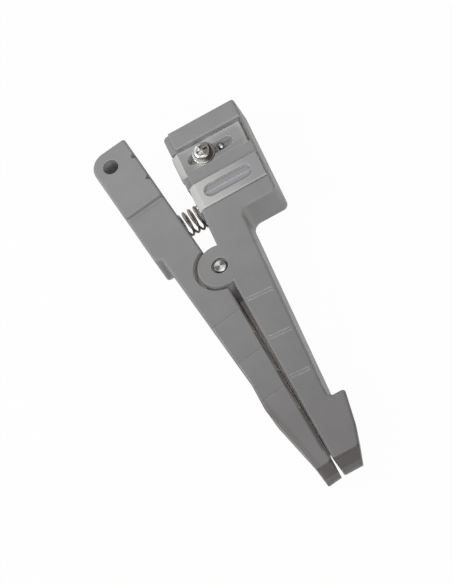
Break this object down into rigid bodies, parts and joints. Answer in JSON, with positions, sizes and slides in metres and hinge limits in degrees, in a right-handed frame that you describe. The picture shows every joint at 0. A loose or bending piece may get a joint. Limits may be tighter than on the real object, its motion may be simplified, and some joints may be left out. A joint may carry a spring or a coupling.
{
  "type": "coaxial cable stripper",
  "caption": "Hand cable stripper of two hinged moulded arms, with a return spring, sliding blade cassettes in the head, a finger hook and long crank handles.",
  "frame": {"origin": "middle of the footprint, on the flat backs of the arms, on which the tool lies", "axes": "+Z through the tool's thickness towards its front, +Y along the tool towards the head, +X towards the finger hook"},
  "size_m": [0.0468, 0.1334, 0.0146],
  "materials": {
    "moulded_grey": "fine matt texture",
    "cassette_grey": "satin",
    "steel": "turned",
    "spring_steel": "drawn wire",
    "blade_steel": "ground",
    "plated_steel": "bright plated",
    "brass": "turned"
  },
  "bodies": {
    "head": {"head_arm": "moulded_grey", "hinge_pin": "steel", "return_spring": "spring_steel", "upper_insert": "brass", "upper_stop_pin": "steel", "lower_stop_pin": "steel"},
    "anvil": {"anvil_arm": "moulded_grey"},
    "upper_slide": {"upper_cassette": "cassette_grey", "upper_blade": "blade_steel", "upper_rivet_low": "steel", "upper_rivet_high": "steel"},
    "upper_clamp": {"upper_screw": "plated_steel", "upper_washer": "plated_steel"},
    "lower_slide": {"lower_cassette": "cassette_grey", "lower_blade": "blade_steel", "lower_rivet_low": "steel", "lower_rivet_high": "steel", "lower_insert": "brass"},
    "lower_clamp": {"lower_screw": "plated_steel", "lower_washer": "plated_steel"}
  },
  "joints": [
    {"name": "jaw_hinge", "type": "hinge", "parent": "head", "child": "anvil", "pos_m": [-0.00161, 0.01233, 0.00635], "axis": [0, 0, -1], "range_deg": [0, 6.1], "stiffness_Nm_per_rad": 0.6, "springref_deg": -6.3, "deforming": ["return_spring"]},
    {"name": "upper_cassette_slide", "type": "slide", "parent": "head", "child": "upper_slide", "axis": [-1, 0, 0], "range_m": [-0.001, 0.003]},
    {"name": "lower_cassette_slide", "type": "slide", "parent": "head", "child": "lower_slide", "axis": [-1, 0, 0], "range_m": [0, 0.003]},
    {"name": "upper_screw_turn", "type": "hinge", "parent": "head", "child": "upper_clamp", "pos_m": [0.00855, 0.05068, 0.008], "axis": [0, 0, 1], "range_deg": [0, 360]},
    {"name": "lower_screw_turn", "type": "hinge", "parent": "lower_slide", "child": "lower_clamp", "pos_m": [0.00949, 0.03688, 0.006], "axis": [0, 0, -1], "range_deg": [0, 360]}
  ]
}
